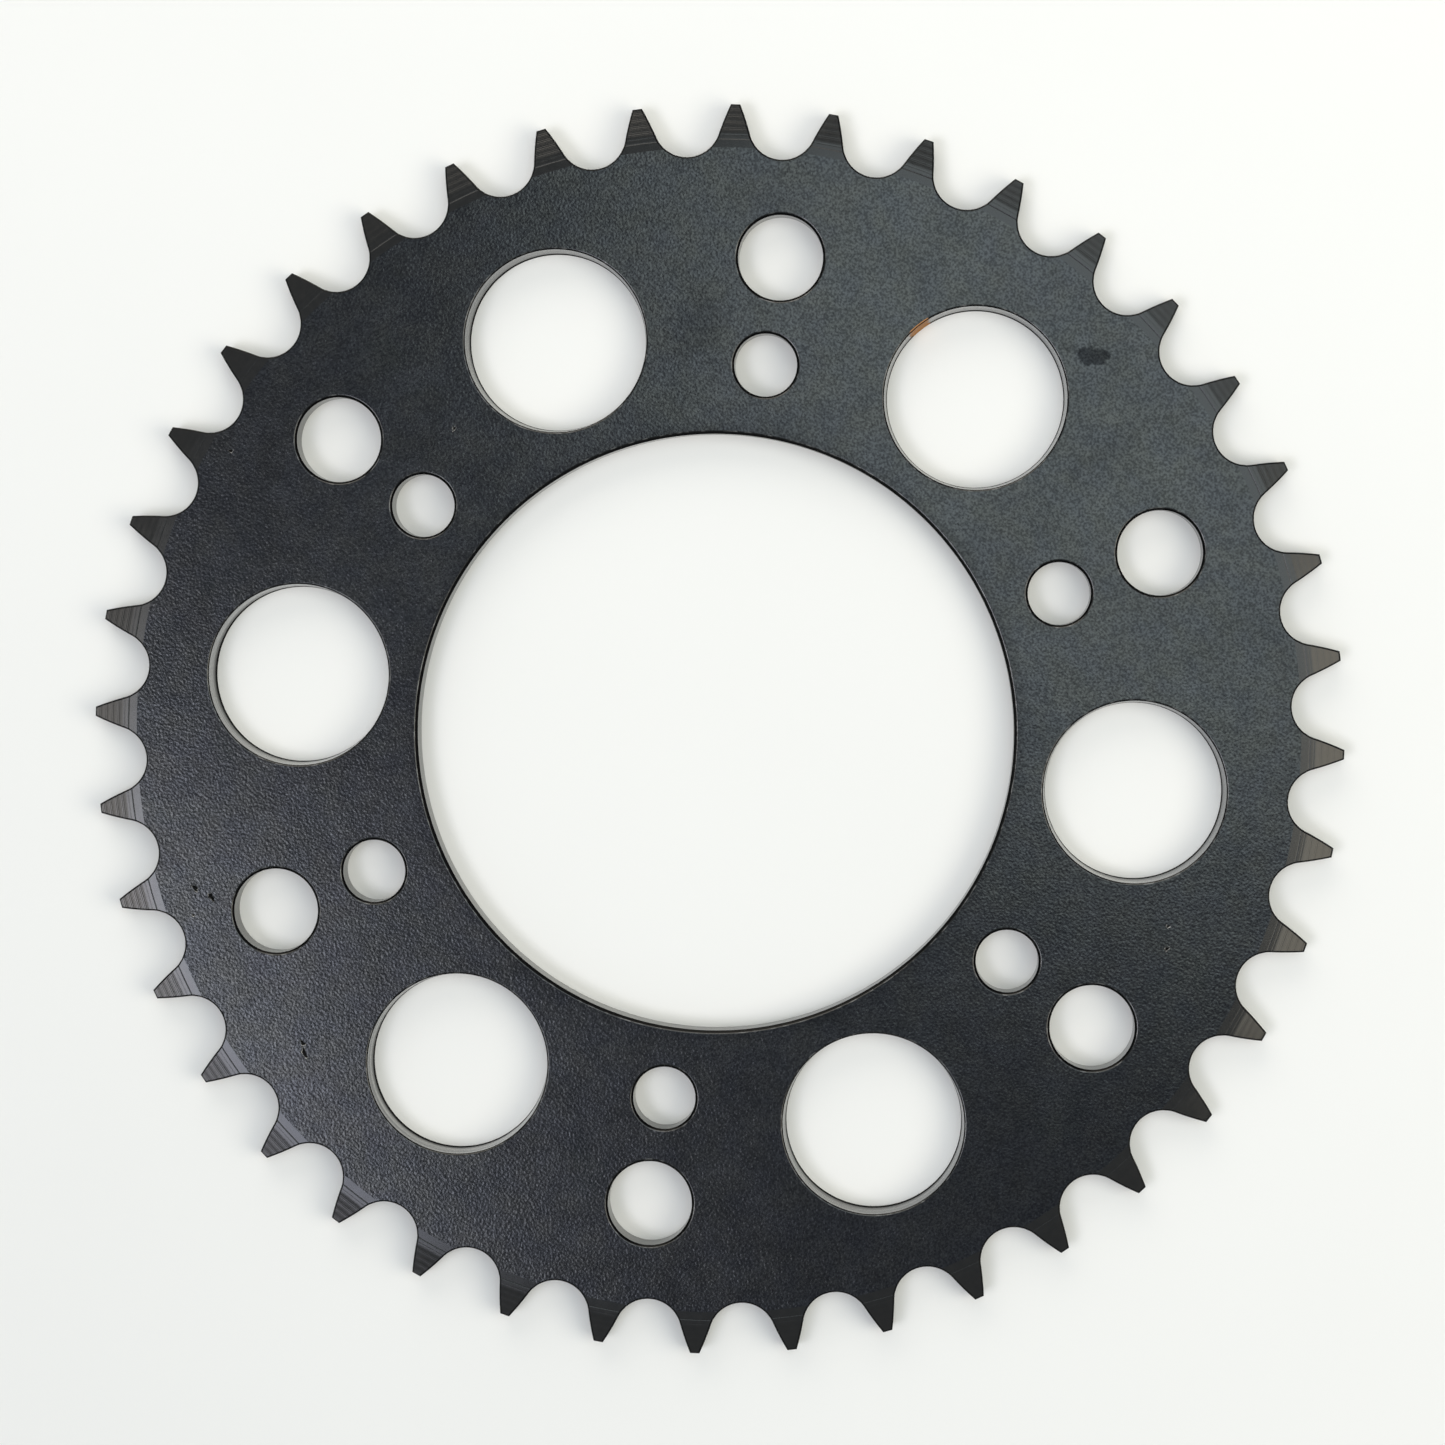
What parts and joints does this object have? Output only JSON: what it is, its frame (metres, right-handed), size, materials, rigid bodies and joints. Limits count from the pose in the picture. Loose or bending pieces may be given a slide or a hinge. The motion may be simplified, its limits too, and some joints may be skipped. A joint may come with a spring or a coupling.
{
  "type": "rear sprocket",
  "caption": "Flat blackened steel chain wheel with turned-down teeth, a plain centre bore, inner and outer rings of bolt holes and a ring of large lightening holes.",
  "frame": {"origin": "on the sprocket's axis, in the plane of its inner face, which bolts to the carrier", "axes": "+Z along the axis, out through the outer face; +X through a tooth and a bolt hole of each ring"},
  "size_m": [0.2098, 0.2098, 0.0058],
  "materials": {
    "black_steel": "satin black coating over pebbled steel, thin on the turned tooth sides"
  },
  "bodies": {
    "root": {"sprocket_plate": "black_steel"}
  },
  "joints": []
}
